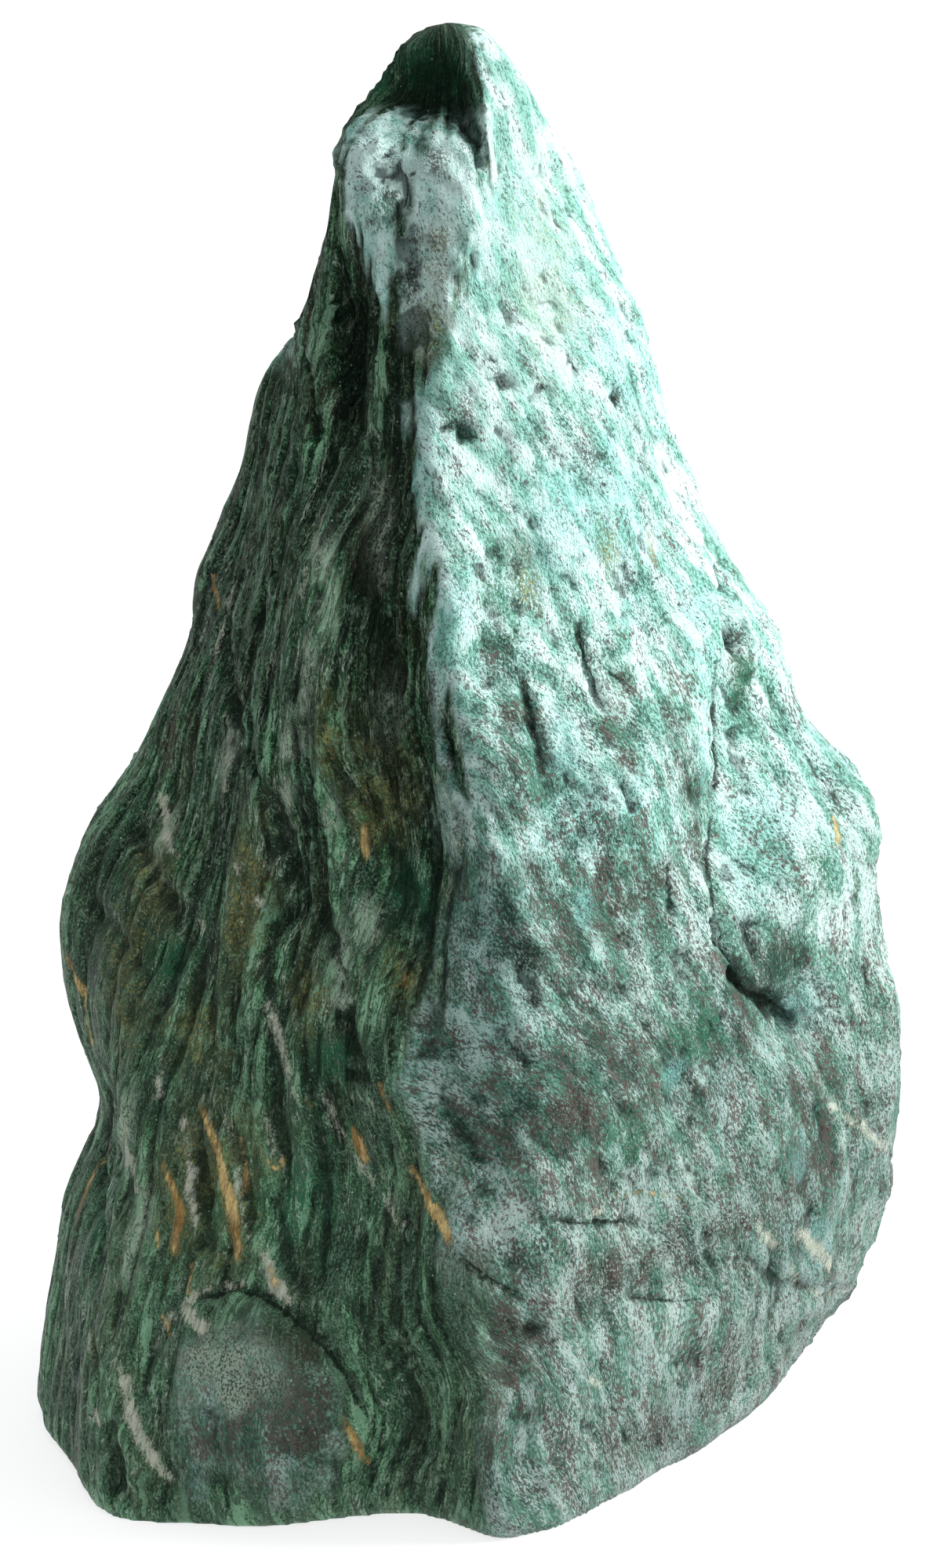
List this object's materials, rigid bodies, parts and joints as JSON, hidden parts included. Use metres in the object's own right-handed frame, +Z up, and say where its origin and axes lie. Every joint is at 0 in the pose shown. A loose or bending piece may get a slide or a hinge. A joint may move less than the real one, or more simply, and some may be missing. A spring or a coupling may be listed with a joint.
{
  "type": "fuchsite specimen",
  "caption": "Tapering upright rough of green mica schist with a blunt tip, ridged front, bulging right flank and flat foot, free-standing for display.",
  "frame": {"origin": "centre of the bounding box in plan, on the plane of the flat foot", "axes": "+Z up the stone from the foot to the tip, -Y out of the display side, where the front ridge is"},
  "size_m": [0.1292, 0.103, 0.214],
  "materials": {
    "fuchsite": "rough, finely foliated, with a pearly mica sparkle"
  },
  "bodies": {
    "root": {"fuchsite_stone": "fuchsite"}
  },
  "joints": []
}
